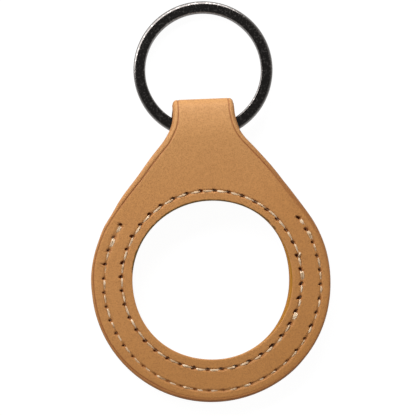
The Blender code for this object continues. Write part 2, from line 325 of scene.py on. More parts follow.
def halfWidth(y):
    # the tab's half width at y, and how much longer a slanting edge makes a crosswise cut
    if y < shoulderTop:
        rise = y - shoulder[1]
        run = math.sqrt(holder["shoulderRadius"] ** 2 - rise * rise)
        return shoulder[0] + run, math.hypot(1, rise / run)
    if y < neckY:
        run = math.sqrt(holder["neckRadius"] ** 2 - (neckY - y) ** 2)
        return neckX - run, math.hypot(1, (neckY - y) / run)
    return holder["tabHalf"], 1.0


# The leather's section along the strip: front, roll, fold, loop and rear

rollCentre = (foldEnd - holder["rollLength"], halfThick - holder["rollRadius"])
foldRadius = holder["foldInside"] + holder["foldLayer"]
foldY = foldEnd - foldRadius
foldReach = holder["rollRadius"] - foldRadius
foldCentre = (foldY, rollCentre[1] + math.sqrt(foldReach**2 - (foldY - rollCentre[0]) ** 2))
loopCentre = (pivot.y, pivot.z)
foot = (holder["crotch"], -halfThick)
intoFold = heading(rollCentre, foldCentre)
offFold = math.degrees(math.acos((foldRadius - loopRadius) / math.dist(foldCentre, loopCentre)))
offFold = (heading(foldCentre, loopCentre) + offFold) % 360 - 360
offLoop = math.degrees(math.acos(loopRadius / math.dist(loopCentre, foot)))
offLoop = (heading(loopCentre, foot) + offLoop) % 360 - 360
loopFoot = onCircle(loopCentre, loopRadius, offLoop)
rearSlope = math.radians(-heading(foot, loopFoot))
bendStart = foot[0] - holder["rearBend"] * math.tan(rearSlope / 2)


def thickness(y, thinnest):
    # of a layer that is skived from the crotch to where it is thinnest
    thin = min(1.0, max(0.0, (y - holder["crotch"]) / (thinnest - holder["crotch"])))
    return holder["layer"] + (holder["foldLayer"] - holder["layer"]) * thin


def rearFace(y):
    # depth of the rear's outer face at y, and its outward normal in (y, z)
    if y <= bendStart:
        return -halfThick, (0.0, -1.0)
    bend = holder["rearBend"]
    turn = math.asin(min(1.0, (y - bendStart) / bend))
    if turn < rearSlope:
        return -halfThick - bend * (1 - math.cos(turn)), (-math.sin(turn), -math.cos(turn))
    z = foot[1] - (y - foot[0]) * math.tan(rearSlope)
    return z, (-math.sin(rearSlope), -math.cos(rearSlope))


def belowFace(x, y, z, normal, deep):
    # a place deep mm below a face; where the leather bends it keeps its share of the tab's width
    bentY = y - normal[0] * deep
    if y > holder["crotch"] - holder["bendMargin"]:
        x = x * halfWidth(bentY)[0] / halfWidth(y)[0]
    return Vector((x, bentY, z - normal[1] * deep))


def stripStations(cut):
    # places down the middle of the tab from cut to cut: y, z, outward normal and thickness
    onFront, onRoll, onFold, onLoop, onRear = holder["stations"]
    found = []
    for i in range(1, onFront + 1):
        y = cut + (rollCentre[0] - cut) * i / onFront
        found.append((y, halfThick, (0.0, 1.0), thickness(y, rollCentre[0])))
    arcs = (
        (rollCentre, holder["rollRadius"], 90.0, intoFold, onRoll),
        (foldCentre, foldRadius, intoFold, offFold, onFold),
        (loopCentre, loopRadius, offFold, offLoop, onLoop),
    )
    for centre, radius, start, end, count in arcs:
        for i in range(1, count + 1):
            degrees = start + (end - start) * i / count
            y, z = onCircle(centre, radius, degrees)
            found.append((y, z, ray(degrees, 1), holder["foldLayer"]))
    for i in range(1, onRear + 1):
        y = loopFoot[0] + (cut - loopFoot[0]) * i / (onRear + 1)
        z, normal = rearFace(y)
        found.append((y, z, normal, thickness(y, loopFoot[0])))
    return found


# Stitches press the leather down between their holes and draw its sides up, with painted shade in the
# holes and the grooves beside them

rng = random.Random(stitch["seed"])
looseness = {}
for rowName, row in rows.items():
    looseness[rowName] = [(rng.uniform(-1, 1), rng.random()) for _ in range(row["stitches"] + 1)]
    row["pitch"] = row["extent"] / row["stitches"]
    row["perDeg"] = math.radians(row["radius"])  # mm along the row


def inHole(name, index, x, y):
    # how far into one hole of a row a place is, for the pit's depth and its painted shade
    row = rows[name]
    slack, sunk = looseness[name][index % row["stitches"]]
    spot = onCircle(stitch["holeAside"], row["radius"], row["start"] + index * row["pitch"])
    onRight = spot[0] > 0
    slant = heading((0, 0), spot) % 180 - 90
    slit = slant * stitch["slitFollows"][onRight] + stitch["slitLoose"] * slack
    a = (x - spot[0]) * cosine(slit) + (y - spot[1]) * sine(slit)
    b = (y - spot[1]) * cosine(slit) - (x - spot[0]) * sine(slit)
    small, large = stitch["holeSize"][name]
    shut = row["shut"] * smooth(-spot[1] / row["radius"], *stitch["shutFade"])
    size = (small + (large - small) * sunk) * (1 - stitch["shutSmaller"] * shut)
    longer = stitch["rightLonger"] if onRight else 1.0
    spread = (a / (stitch["hole"][0] * longer)) ** 2 + (b / stitch["hole"][1]) ** 2
    return (1 - smooth(spread / (size * size), *stitch["holeBrim"])) * (1 - stitch["shutPaler"] * shut)


def stitchPress(x, y):
    # how deep the leather lies at this place, and how much painted shade of a hole it gets
    depth = dark = 0.0
    for name, row in rows.items():
        pitch, radius = row["pitch"], row["radius"]
        rowY = y - row["rise"]
        if abs(math.hypot(x, rowY) - radius) > stitch["reach"]:
            continue
        turn = (math.degrees(math.atan2(rowY, x)) - row["start"]) % 360
        if row["extent"] < 360 and turn > row["extent"] + pitch / 2:
            turn -= 360
        if turn < -pitch / 2:
            continue
        index = min(row["stitches"], round(turn / pitch))
        hole = inHole(name, index, x, rowY)
        depth = max(depth, stitch["holeDepth"] * hole)
        dark = max(dark, row["dark"] * hole)
        if row["extent"] < 360 and not 0 <= turn <= row["extent"]:
            continue
        twice = math.floor(turn / pitch) in row["twice"]
        wide = stitch["grooveHalf"] * (stitch["grooveTwice"] if twice else 1.0)
        off = math.hypot(x - stitch["threadAside"][0], rowY - stitch["threadAside"][1]) - radius
        off = abs(off) / wide
        deeper, near = stitch["dimple"]
        nearHole = math.exp(-(((turn - index * pitch) * row["perDeg"] / near) ** 2))
        groove = math.exp(-off * off) * (stitch["groove"] + deeper * nearHole)
        place, width = stitch["puckerPlace"]
        pucker = stitch["pucker"] * math.exp(-(((off - place) / width) ** 2))
        depth = max(depth, groove - pucker)
        # painted shade in the groove next to a hole
        dark = max(dark, row["dark"] * (stitch["holeShade"] * nearHole * math.exp(-off * off)))
    return depth, dark


# The leather's mesh: rings out from the window, fine at the two rows, then a band along the edge

windowSteps = (0.0, 0.03, 0.08, 0.14, 0.22, 0.55)
ringStretches = ((17.3, 0.118, 15), (19.4, 0.7, 3), (21.2, 0.12, 11))  # first, step and number
ringSteps = [holder["windowRadius"] + step for step in windowSteps]
for first, step, count in ringStretches:
    ringSteps += [first + step * i for i in range(count)]
outwardCells = 4  # from the last of those rings to the crease's band
bandShares = (1.4, 1.18, 1.08, 1.0, 0.92, 0.8, 0.66, 0.5, 0.36, 0.23, 0.12, 0.04, 0.0)
bandCells = len(bandShares) - 1
wallCells = 4
windowWallCells = 4
rimCells = 2  # of those, the ones that the rim's painted shade takes up
insideShares = (0.0, 0.5, 0.96, 1.0)  # from the edge to the window


def upTheEdge(found, y):
    # the values at a height, between the ones given
    for low, high in zip(found, found[1:]):
        if y <= high[0]:
            t = smooth(y, low[0], high[0])
            return [a + (b - a) * t for a, b in zip(low[1:], high[1:])]
    return found[-1][1:]


def edgeShape(hand, y, share):
    # how far the surface falls near an edge and what tones it has, with share 1 on the crease
    # and 0 on the edge
    wide, brown, dark = upTheEdge(edges[hand], y)
    crease = 0.0
    if share < bandShares[0]:
        crease = math.exp(-(((share - 1) * wide / holder["creaseHalf"]) ** 2))
    fall = holder["creaseDepth"] * crease * dark
    low, high = holder["edgeDrop"]
    drop = low + (high - low) * smooth(y, *holder["dropHeights"])
    rounded = holder["roundedShare"]
    if share < rounded:
        fall += drop * (1 - math.sqrt(max(0.0, 1 - ((rounded - share) / rounded) ** 2)))
    most, *heights = holder["tabTan"]
    start = most * smooth(y, *heights)
    # the edge's brown is burnish, with painted shade where the table browns the right and the bottom
    # more
    brown *= smooth(1 - share, start, start + holder["brownWide"])
    return fall, {"creaseTone": crease * dark, "burnishAndShadeTone": brown}


def columnAngle(column):
    # the columns start at the bottom and go up the right
    return 360 * column / holder["columns"] - 90


tabColumn = round((holder["tabFromDeg"] + 90) / 360 * holder["columns"])
otherTabColumn = holder["columns"] - tabColumn
tabCells = otherTabColumn - tabColumn


def handOf(column):
    return -1 if column % holder["columns"] > holder["columns"] / 2 else 1


def edgeHeight(column):
    degrees = columnAngle(column)
    return ray(degrees, outlineRadius(degrees)[0])[1]


def bandSpot(side, column, share):
    # a place beside the outline, share creases in from it
    degrees = columnAngle(column)
    far, square = outlineRadius(degrees)
    y = edgeHeight(column)
    hand = handOf(column)
    inward = share * upTheEdge(edges[hand], y)[0] + upTheEdge(trims[side, hand], y)[0]
    return ray(degrees, far - inward / square)


def cutSpot(side, t, share):
    # a place on the line between a half and the tab, from the right (0) to the left (1)
    right, left = bandSpot(side, tabColumn, share), bandSpot(side, otherTabColumn, share)
    return right[0] + (left[0] - right[0]) * t, right[1] + (left[1] - right[1]) * t


def shifted(side, x, y):
    # the layers lie on each other exactly at the window's row only
    off = smooth(math.hypot(x, y), *holder["shiftFrom"])
    dx = holder["rowShift"] + (holder["shift"][side][0] - holder["rowShift"]) * off
    return x + dx, y + holder["shift"][side][1] * off


def wave(x, y):
    spot = Vector((x / holder["waveLength"], y / holder["waveLength"], holder["waveSeed"]))
    return holder["wave"] * noise.noise(spot)


def faceSpot(side, x, y, fall, under=0.0):
    # a place on the front (1) or rear (-1) face, fall mm below it, or on its inside if under is 1
    x, y = shifted(side, x, y)
    if side > 0:
        z, normal, thick = halfThick, (0.0, 1.0), thickness(y, rollCentre[0])
    else:
        (z, normal), thick = rearFace(y), thickness(y, loopFoot[0])
    return belowFace(x, y, z, normal, fall + (thick - fall) * under)


def gridPatch(shape, across, along, place):
    # a grid whose corners go where place(column, row) says, with the tones that it gives
    made = bmesh.ops.create_grid(shape, x_segments=across, y_segments=along, size=1.0)["verts"]
    layers = shape.verts.layers.float
    for vert in made:
        column = round((vert.co.x + 1) / 2 * across)
        row = round((vert.co.y + 1) / 2 * along)
        vert.co, tones = place(column, row)
        for name, value in tones.items():
            vert[layers[name]] = value


def windowWider(side, degrees, off):
    # how much wider the window is than its radius, from the front's face (0) to the rear's (1)
    far, centre = holder["frontGive" if side > 0 else "rearLip"]
    there = far * max(0.0, cosine(degrees - centre)) ** holder["lipPower"]
    oval = holder["windowOval"] * max(0.0, sine(2 * degrees)) ** 2
    wider = oval + holder["rearGrow"] * off
    return wider + there if side > 0 else wider - there


def addHalf(shape, side):
    # one round body: its face, edge, wall, inside and the wall of its window

    def edgeSpot(column, share):
        # beside the edge, which is the cut line where the tab goes on
        if tabColumn <= column <= otherTabColumn:
            return cutSpot(side, (column - tabColumn) / tabCells, share)
        return bandSpot(side, column, share)

    def rimShade(degrees):
        # painted shade: the front's rim is darkened at the upper left of the window and above it
        most, centre = holder["rimDark"]
        upper = smooth(sine(degrees), *holder["rimUpper"]) if side > 0 else 0.0
        return most * upper * smooth(cosine(degrees - centre), *holder["rimFade"])

    def lipPaintedShade(degrees):
        # and painted shade of the seam between the layers: the rear's lip is browned and speckled on its
        # right
        lip = smooth(cosine(degrees), *holder["lipFade"]) if side < 0 else 0.0
        return {"windowTone": 1 - lip, "burnishAndShadeTone": lip, "rimTone": holder["lipShadeSpots"] * lip}

    def onRing(degrees, distance):
        near = distance - holder["windowRadius"]
        own = 1 - smooth(distance, holder["windowRadius"], holder["windowEnds"])
        x, y = ray(degrees, distance + windowWider(side, degrees, side < 0) * own)
        x += holder["windowAside"] * own
        y += holder["windowRise"] * (1 - smooth(distance, *holder["riseEnds"]))
        if side < 0:
            y -= holder["rearDown"] * own
        over = max(0.0, 1 - near / holder["windowRounding"])
        fall = holder["windowRounding"] * (1 - math.sqrt(1 - over * over))
        if side > 0:
            fall -= wave(x, y) * (1 - own)
        press, dark = stitchPress(x, y)
        # painted shade on the front's rim
        rim = (1 - smooth(near, *holder["rimWide"])) * rimShade(degrees)
        return faceSpot(side, x, y, fall + press), {"holePaintedShade": dark, "rimTone": rim}

    def onFace(column, row):
        degrees = columnAngle(column)
        if row < len(ringSteps):
            return onRing(degrees, ringSteps[row])
        start = ray(degrees, ringSteps[-1])
        end = edgeSpot(column, bandShares[0])
        t = (row - len(ringSteps) + 1) / outwardCells
        x, y = start[0] + (end[0] - start[0]) * t, start[1] + (end[1] - start[1]) * t
        press, dark = stitchPress(x, y)
        return faceSpot(side, x, y, press - (wave(x, y) if side > 0 else 0)), {"holePaintedShade": dark}

    def onBand(column, row):
        column = (otherTabColumn + column) % holder["columns"]
        share = bandShares[min(row, bandCells)]
        fall, tones = edgeShape(handOf(column), edgeHeight(column), share)
        x, y = bandSpot(side, column, share)
        if side > 0:
            fall -= wave(x, y)
        if row <= bandCells:
            return faceSpot(side, x, y, fall), tones
        under = (row - bandCells) / wallCells
        out = 1 + holder["bulge"] * math.sin(math.pi * under) / math.hypot(x, y)
        return faceSpot(side, x * out, y * out, fall, under), {"burnishAndShadeTone": holder["wallBrown"]}

    def windowSpot(column, t):
        # a place on the window's wall, from the face (0) to the inside (1)
        degrees = columnAngle(column)
        outer = halfThick - holder["windowRounding"]
        z = side * (outer + (holder["gap"] / 2 - outer) * t)
        off = (halfThick - z) / (2 * halfThick) if t > 0 else (1.0 if side < 0 else 0.0)
        x, y = ray(degrees, holder["windowRadius"] + windowWider(side, degrees, off))
        x += holder["rowShift"] + holder["windowAside"]
        y += holder["windowRise"] - holder["rearDown"] * off
        return Vector((x, y, z))

    def inside(column, row):
        near = windowSpot(column, 1.0)
        t = insideShares[row]
        if t == 1:
            return near, lipPaintedShade(columnAngle(column))
        far = edgeSpot(column, 0)
        x, y = far[0] + (near.x - holder["rowShift"] - far[0]) * t, far[1] + (near.y - far[1]) * t
        byWindow = row == len(insideShares) - 2
        return faceSpot(side, x, y, 0, 1.0), {"windowTone" if byWindow else "burnishAndShadeTone": 1.0}

    def onWindowWall(column, row):
        degrees = columnAngle(column)
        tones = lipPaintedShade(degrees)
        tones["rimTone"] = max(tones["rimTone"], rimShade(degrees) if row < rimCells else 0.0)
        return windowSpot(column, row / windowWallCells), tones

    columns = holder["columns"]
    gridPatch(shape, columns, len(ringSteps) - 1 + outwardCells, onFace)
    gridPatch(shape, columns - tabCells, bandCells + wallCells, onBand)
    gridPatch(shape, columns, len(insideShares) - 1, inside)
    gridPatch(shape, columns, windowWallCells, onWindowWall)


sleeveCells = (wallCells, bandCells, tabCells, bandCells, wallCells, tabCells)


def roundTheTab(column):
    # round the tab's section: up the right wall (0), in over its band (1), along the front (2), out
    # over the left band (3), down the left wall (4) and back on the inside (5). Gives the hand, the
    # share of the crease, how far leftward a place on a face is, and how far under
    part = 0
    while part < len(sleeveCells) - 1 and column > sleeveCells[part]:
        column -= sleeveCells[part]
        part += 1
    t = column / sleeveCells[part]
    hand = 1 if part < 2 else -1
    if part in (0, 4):
        return hand, 0.0, None, 1 - t if part == 0 else t
    if part in (1, 3):
        return hand, bandShares[bandCells - column if part == 1 else column], None, 0.0
    if part == 2:
        return hand, bandShares[0], t, 0.0
    return hand, 0.0, 1 - t, 1.0


def addTab(shape):
    # the strip from the front's cut over the fold to the rear's cut, as one closed sleeve
    cutY = edgeHeight(tabColumn)
    stations = stripStations(cutY)
    lastRow = len(stations) + 1
    foldRow = sum(holder["stations"][:2]) + holder["stations"][2] // 2

    def fallAndTones(hand, y, share, leftward, under):
        fall, tones = edgeShape(hand, y, share) if leftward is None else (0.0, {})
        return fall, {"burnishAndShadeTone": 1.0} if under > 0 else tones

    def onCut(side, hand, share, leftward, under):
        fall, tones = fallAndTones(hand, cutY, share, leftward, under)
        if leftward is None:
            x, y = bandSpot(side, tabColumn if hand > 0 else otherTabColumn, share)
        else:
            x, y = cutSpot(side, leftward, share)
        if side > 0 and (under < 1 or leftward is None):
            fall -= wave(x, y)
        out = 1 + holder["bulge"] * math.sin(math.pi * under) / math.hypot(x, y)
        return faceSpot(side, x * out, y * out, fall, under), tones

    def onStation(row, hand, share, leftward, under):
        y, z, normal, thick = stations[row - 1]
        fall, tones = fallAndTones(hand, y, share, leftward, under)
        if row <= foldRow:
            t = smooth(row / foldRow)
            first, second = holder["shift"][1], (holder["foldShift"], 0)
        else:
            t = smooth((row - foldRow) / (lastRow - foldRow))
            first, second = (holder["foldShift"], 0), holder["shift"][-1]
        wide, longer = halfWidth(y - first[1] * (1 - t) - second[1] * t)
        ends = []
        for end in (1, -1):
            trim = upTheEdge(trims[1, end], y)[0] * (1 - t) + upTheEdge(trims[-1, end], y)[0] * t
            ends.append(end * (wide - (share * upTheEdge(edges[end], y)[0] + trim) * longer))
        right, left = ends
        across = (0.0 if hand > 0 else 1.0) if leftward is None else leftward
        x = right + (left - right) * across
        x += hand * holder["bulge"] * math.sin(math.pi * under) + first[0] * (1 - t) + second[0] * t
        if row < holder["waveStations"] and under < 1:
            fall -= wave(x, y) * (1 - row / holder["waveStations"])
        reach, pared = holder["mouth"]
        away = min(across, 1 - across) * (right - left)
        pared *= max(0.0, 1 - away / reach)
        pared *= smooth(min(row, lastRow - row), 0, holder["mouthStations"])
        pared *= thick - edgeShape(1, y, 0.0)[0]
        return belowFace(x, y, z, normal, fall + (thick - fall - pared) * under), tones

    def place(column, row):
        spot = roundTheTab(column)
        if row in (0, lastRow):
            return onCut(1 if row == 0 else -1, *spot)
        return onStation(row, *spot)

    gridPatch(shape, sum(sleeveCells), lastRow, place)


# Materials

def newMaterial(name):
    made = bpy.data.materials.new(name)
    made.use_nodes = True
    return made, made.node_tree, made.node_tree.nodes["Principled BSDF"]


def feed(tree, socket, value):
    # gives a socket a number, a colour or what another socket says
    if isinstance(value, tuple):
        socket.default_value = (*value, 1)
    elif isinstance(value, float):
        socket.default_value = value
    else:
        tree.links.new(value, socket)


def pattern(tree, scale, detail, rough=0.5):
    # noise that stays with the piece
    node = tree.nodes.new("ShaderNodeTexNoise")
    for name, number in (("Scale", scale), ("Detail", detail), ("Roughness", rough)):
        node.inputs[name].default_value = number
    place = tree.nodes.new("ShaderNodeTexCoord")
    tree.links.new(place.outputs["Object"], node.inputs["Vector"])
    return node.outputs["Fac"]


def ranged(tree, value, low, high, toLow=0.0, toHigh=1.0):
    # brings low to high to another range
    node = tree.nodes.new("ShaderNodeMapRange")
    tree.links.new(value, node.inputs["Value"])
    for name, number in (("From Min", low), ("From Max", high), ("To Min", toLow), ("To Max", toHigh)):
        node.inputs[name].default_value = number
    return node.outputs["Result"]


def mixed(tree, amount, first, second):
    node = tree.nodes.new("ShaderNodeMix")
    node.data_type = "RGBA"
    tree.links.new(amount, node.inputs["Factor"])
    feed(tree, node.inputs["A"], first)
    feed(tree, node.inputs["B"], second)
    return node.outputs["Result"]


def worked(tree, operation, *values):
    node = tree.nodes.new("ShaderNodeMath")
    node.operation = operation
    for socket, value in zip(node.inputs, values):
        feed(tree, socket, value)
    return node.outputs[0]


def tone(tree, name):
    # one of the tones that the mesh holds
    node = tree.nodes.new("ShaderNodeAttribute")
    node.attribute_name = name
    return node.outputs["Fac"]


def leatherMaterial():
    finish = {
        "tan": (0.555, 0.256, 0.079),
        # the pale tan is painted light; the deep tan is random tone and painted shade
        "tanPaintedLight": (0.585, 0.297, 0.105),
        "tanDeepAndPaintedShade": (0.465, 0.198, 0.046),
        # burnished edges, with painted shade on the right, at the bottom and on the rear's lip
        "grain": (0.3, 0.12, 0.034),
        "burnishAndShadeBrown": (0.26, 0.092, 0.021),
        "crease": (0.24, 0.062, 0.011),
        # painted shade at the window's rim and in the seam at the rear's lip
        "rim": (0.125, 0.06, 0.006),
        # painted shade in the stitch holes and the grooves beside them
        "hole": (0.2, 0.036, 0.004),
        "window": (0.53, 0.25, 0.03),
        # a pattern's scale, detail and roughness, and its range
        "broad": ((90, 3, 0.5), (0.35, 0.65)),
        "fine": ((1500, 5, 0.65), (0.3, 0.7)),
        "pores": ((3600, 4, 0.6), (0.46, 0.66)),
        "spots": (1100, 3, 0.6),
        "spotRange": (0.98, 1.1),
        "roughness": (0.5, 0.68),
        "specular": 0.35,
        "bump": (0.35, 0.00006),  # strength and height
    }
    made, tree, shader = newMaterial("holderLeather")
    noises = (finish["broad"], finish["fine"], finish["pores"])
    broad, fine, pores = (ranged(tree, pattern(tree, *what), *between) for what, between in noises)
    paintedLight = tone(tree, "paintedLightTone")
    # painted light and shade: paler towards the top and the fold, deeper at the bottom and on the right
    colour = mixed(tree, ranged(tree, paintedLight, 0.0, 0.5), finish["tanDeepAndPaintedShade"], finish["tan"])
    colour = mixed(tree, ranged(tree, paintedLight, 0.5, 1.0), colour, finish["tanPaintedLight"])
    for value, most, over in (
        (broad, 0.12, "tanDeepAndPaintedShade"),
        (fine, 0.28, "grain"),
        (pores, 0.5, "grain"),
        # burnish, and painted shade on the right and bottom edges and the rear's lip
        (tone(tree, "burnishAndShadeTone"), 0.9, "burnishAndShadeBrown"),
        (tone(tree, "creaseTone"), 0.9, "crease"),
    ):
        colour = mixed(tree, ranged(tree, value, 0, 1, 0, most), colour, finish[over])
    colour = mixed(tree, tone(tree, "windowTone"), colour, finish["window"])
    # the painted shade on the rim and the lip is solid where its tone is strong, and in spots where it
    # is half
    marks = worked(tree, "ADD", tone(tree, "rimTone"), pattern(tree, *finish["spots"]))
    colour = mixed(tree, ranged(tree, marks, *finish["spotRange"]), colour, finish["rim"])
    # painted shade in the stitch holes
    colour = mixed(tree, tone(tree, "holePaintedShade"), colour, finish["hole"])
    tree.links.new(colour, shader.inputs["Base Color"])
    tree.links.new(ranged(tree, fine, 0, 1, *finish["roughness"]), shader.inputs["Roughness"])
    shader.inputs["Specular IOR Level"].default_value = finish["specular"]
    bump = tree.nodes.new("ShaderNodeBump")
    bump.inputs["Strength"].default_value, bump.inputs["Distance"].default_value = finish["bump"]
    tree.links.new(pores, bump.inputs["Height"])
    tree.links.new(bump.outputs["Normal"], shader.inputs["Normal"])
    return made


def finishPiece(name, shape, material, body, node):
    # puts a shape in its place as a piece that stands for a CAD node
    bmesh.ops.recalc_face_normals(shape, faces=shape.faces)
    for face in shape.faces:
        face.smooth = True
    mesh = bpy.data.meshes.new(name)
    shape.to_mesh(mesh)
    shape.free()
    piece = bpy.data.objects.new(name, mesh)
    bpy.context.scene.collection.objects.link(piece)
    mesh.materials.append(material)
    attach(piece, body)
    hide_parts(node)
    return piece


def makeLeather():
    shape = bmesh.new()
    for name in ("paintedLightTone", "burnishAndShadeTone", "creaseTone", "windowTone", "rimTone", "holePaintedShade"):
        shape.verts.layers.float.new(name)
    addHalf(shape, 1)
    addHalf(shape, -1)
    addTab(shape)
    bmesh.ops.remove_doubles(shape, verts=shape.verts, dist=holder["merge"])
    openEdges = sum(1 for edge in shape.edges if not edge.is_manifold)
    print("leather:", len(shape.faces), "faces,", openEdges, "open edges")
    paintedLight = shape.verts.layers.float["paintedLightTone"]
    body, tab = holder["paintedLightHeights"]
    deeper, *across = holder["paintedShadeRight"]
    # painted light: paler up the body and the tab; painted shade deeper on the right
    for vert in shape.verts:
        vert[paintedLight] = (0.5 + 0.5 * smooth(vert.co.y, *body) + smooth(vert.co.y, *tab)) / 2
        vert[paintedLight] -= deeper * smooth(vert.co.x, *across)
    bmesh.ops.transform(shape, matrix=toWorld, verts=shape.verts)
    return finishPiece("foldedLeather", shape, leatherMaterial(), "holder", "leather_holder")


# Threads

def onRow(name, side, degrees, across, z):
    # a place beside a row, across mm outside it and z mm above the leather
    row = rows[name]
    x, y = onCircle(stitch["threadAside"], row["radius"] + across, degrees)
    return Vector((*shifted(side, x, y + row["rise"]), side * (halfThick + z)))


def stitchLine(name, side, index, across=0.0, lift=0.0):
    # the middle of one stitch: out of its first hole, along, and down into the next
    row = rows[name]
    slack, sunk = looseness[name][index]
    half = row["pitch"] * row["perDeg"] / 2
    middle = row["start"] + row["pitch"] * (index + 0.5)
    falls = cosine(middle) < 0  # whether its end is its lower end
    extra, centre = stitch["legLonger"]
    hidden = smooth(cosine(middle - centre), *stitch["legFade"])
    upper, lower = stitch["legs"][0], stitch["legs"][1] + extra * hidden
    first, last = (upper - half, half - lower) if falls else (lower - half, half - upper)
    low, high = stitch["sunk"][name]
    top = stitch["top"] + lift - (low + high * sunk)
    squareAlong, squareUp = stitch["arch"]
    points = []
    for k in range(stitch["archSteps"] + 1):
        turn = math.pi * k / stitch["archSteps"]
        c = -math.cos(turn)
        share = (1 + math.copysign(abs(c) ** squareAlong, c)) / 2
        along = first + (last - first) * share
        dive = smooth(share if falls else 1 - share, stitch["tailFrom"], 1)
        rise = top - stitch["tail"] * dive - stitch["low"]
        z = stitch["low"] + rise * math.sin(turn) ** squareUp
        out = across + stitch["sway"] * slack * math.sin(turn)
        points.append(onRow(name, side, middle + along / row["perDeg"], out, z))
    return points


def looseEnd(name, side, hole, degrees):
    # a cut end of thread that lies beside its hole
    row = rows[name]
    centre = row["start"] + row["pitch"] * hole
    points = []
    for far, z in stitch["end"]:
        along, out = far * cosine(degrees), -far * sine(degrees)
        points.append(onRow(name, side, centre + along / row["perDeg"], out, z))
    return points


def threadLines(name, side):
    row = rows[name]
    main, others = [], []
    for i in range(row["stitches"]):
        if i in row["twice"]:
            main += stitchLine(name, side, i, stitch["beside"], stitch["above"])
            others.append(stitchLine(name, side, i, -stitch["beside"]))
        else:
            main += stitchLine(name, side, i)
    others += [looseEnd(name, side, hole, degrees) for hole, degrees in row["ends"]]
    return [main] + others


def resampled(points, step):
    # the same line with even steps
    found = [points[0]]
    left = step
    for a, b in zip(points, points[1:]):
        length = (b - a).length
        while length > left:
            a = a.lerp(b, left / length)
            length = (b - a).length
            found.append(a)
            left = step
        left -= length
    return found


def threadMaterial():
    finish = {
        "colours": ((0.45, 0.27, 0.125), (0.82, 0.64, 0.44)),
        "places": (0.35, 0.62),
        "patches": (900, 4),
        "roughness": 0.75,
        "sheen": 0.2,
    }
    made, tree, shader = newMaterial("creamThread")
    ramp = tree.nodes.new("ShaderNodeValToRGB")
    for element, place, colour in zip(ramp.color_ramp.elements, finish["places"], finish["colours"]):
        element.position = place
        element.color = (*colour, 1)
    tree.links.new(pattern(tree, *finish["patches"]), ramp.inputs["Fac"])
    tree.links.new(ramp.outputs["Color"], shader.inputs["Base Color"])
    shader.inputs["Roughness"].default_value = finish["roughness"]
    shader.inputs["Sheen Weight"].default_value = finish["sheen"]
    return made


def makeThread(name, lines, material, node):
    # twisted plies round each line, as curves that become one mesh
    plyRadius = stitch["threadRadius"] * stitch["plyShare"]
    offset = stitch["threadRadius"] - plyRadius
    curve = bpy.data.curves.new(name, "CURVE")
    curve.dimensions = "3D"
    curve.bevel_depth = plyRadius
    curve.bevel_resolution = 1
    curve.use_fill_caps = True
    for line in lines:
        line = resampled(line, stitch["step"])
        for ply in range(stitch["plies"]):
            spline = curve.splines.new("POLY")
            spline.points.add(len(line) - 1)
            for k, spot in enumerate(line):
                ahead = line[min(k + 1, len(line) - 1)] - line[max(k - 1, 0)]
                ahead.normalize()
                outward = Vector((spot.x, spot.y, 0)).normalized()
                first = (outward - ahead * outward.dot(ahead)).normalized()
                second = ahead.cross(first)
                turn = math.tau * (k * stitch["step"] / stitch["twist"] + ply / stitch["plies"])
                place = spot + offset * (math.cos(turn) * first + math.sin(turn) * second)
                spline.points[k].co = (*place, 1)
    helper = bpy.data.objects.new(name + "Line", curve)
    bpy.context.scene.collection.objects.link(helper)
    bpy.context.view_layer.update()
    mesh = bpy.data.meshes.new_from_object(helper.evaluated_get(bpy.context.evaluated_depsgraph_get()))
    bpy.data.objects.remove(helper)
    shape = bmesh.new()
    shape.from_mesh(mesh)
    bpy.data.meshes.remove(mesh)
    bmesh.ops.remove_doubles(shape, verts=shape.verts, dist=stitch["merge"])
    bmesh.ops.transform(shape, matrix=toWorld, verts=shape.verts)
    return finishPiece(name, shape, material, "holder", node)


def makeThreads():
    material = threadMaterial()
    for name in rows:
        for word, side in (("needle", 1), ("bobbin", -1)):
            title = f"{name}Row{word.title()}Thread"
            piece = makeThread(title, threadLines(name, side), material, f"{name}_row_{word}_thread")
            print(piece.name, len(piece.data.polygons), "faces")


# Key ring, from its pivot

keyRing = {
    "outer": 14.1,
    "band": 2.38,
    "wire": 0.85,
    "turnGap": 0.1,
    "outerRounding": (0.88, 0.4),  # how wide and how high
    "innerRounding": (0.36, 0.38),
    "cornerSteps": 8,
    "flatMargin": 0.05,  # keeps the flat beside a rounding flat
    "highlightFrom": (0.52, 0.78),  # how far sideways a rounding faces where its painted highlight starts
    "highlightTo": (0.95, 1.0),  # and where it ends, with 1 for wholly sideways
    "lessHighlight": (0.7, 0.5, 0.9),  # the inner rim's far side has less painted highlight, by this and between these sines
    "pivotToMiddle": 11.83,
    "aside": 0.17,
    "droopDeg": 6.44,
    "joggleDeg": 22.0,
    "endGap": 0.3,
    "steps": 260,
    "merge": 0.001,
}


def ringMaterial():
    finish = {
        "plate": (0.1, 0.091, 0.087),
        "speck": (0.36, 0.33, 0.31),
        # painted highlight: a paler, rougher plate on the rims for their bright lines
        "paintedHighlight": (0.17, 0.162, 0.155),
        "specks": ((2600, 5), (0.54, 0.66, 0.0, 0.9)),  # a pattern's scale and detail, and its ranges
        "scuffs": ((1300, 5), (0.4, 0.75, 0.12, 0.16)),
        "highlightRougher": 0.12,
    }
    made, tree, shader = newMaterial("blackNickel")
    shader.inputs["Metallic"].default_value = 1.0
    noises = (finish["specks"], finish["scuffs"])
    specks, scuffs = (ranged(tree, pattern(tree, *what), *between) for what, between in noises)
    # painted highlight on the rims
    paintedHighlight = tone(tree, "paintedHighlightTone")
    colour = mixed(tree, specks, finish["plate"], finish["speck"])
    tree.links.new(mixed(tree, paintedHighlight, colour, finish["paintedHighlight"]), shader.inputs["Base Color"])
    rough = worked(tree, "MULTIPLY_ADD", paintedHighlight, finish["highlightRougher"], scuffs)
    tree.links.new(rough, shader.inputs["Roughness"])
    return made


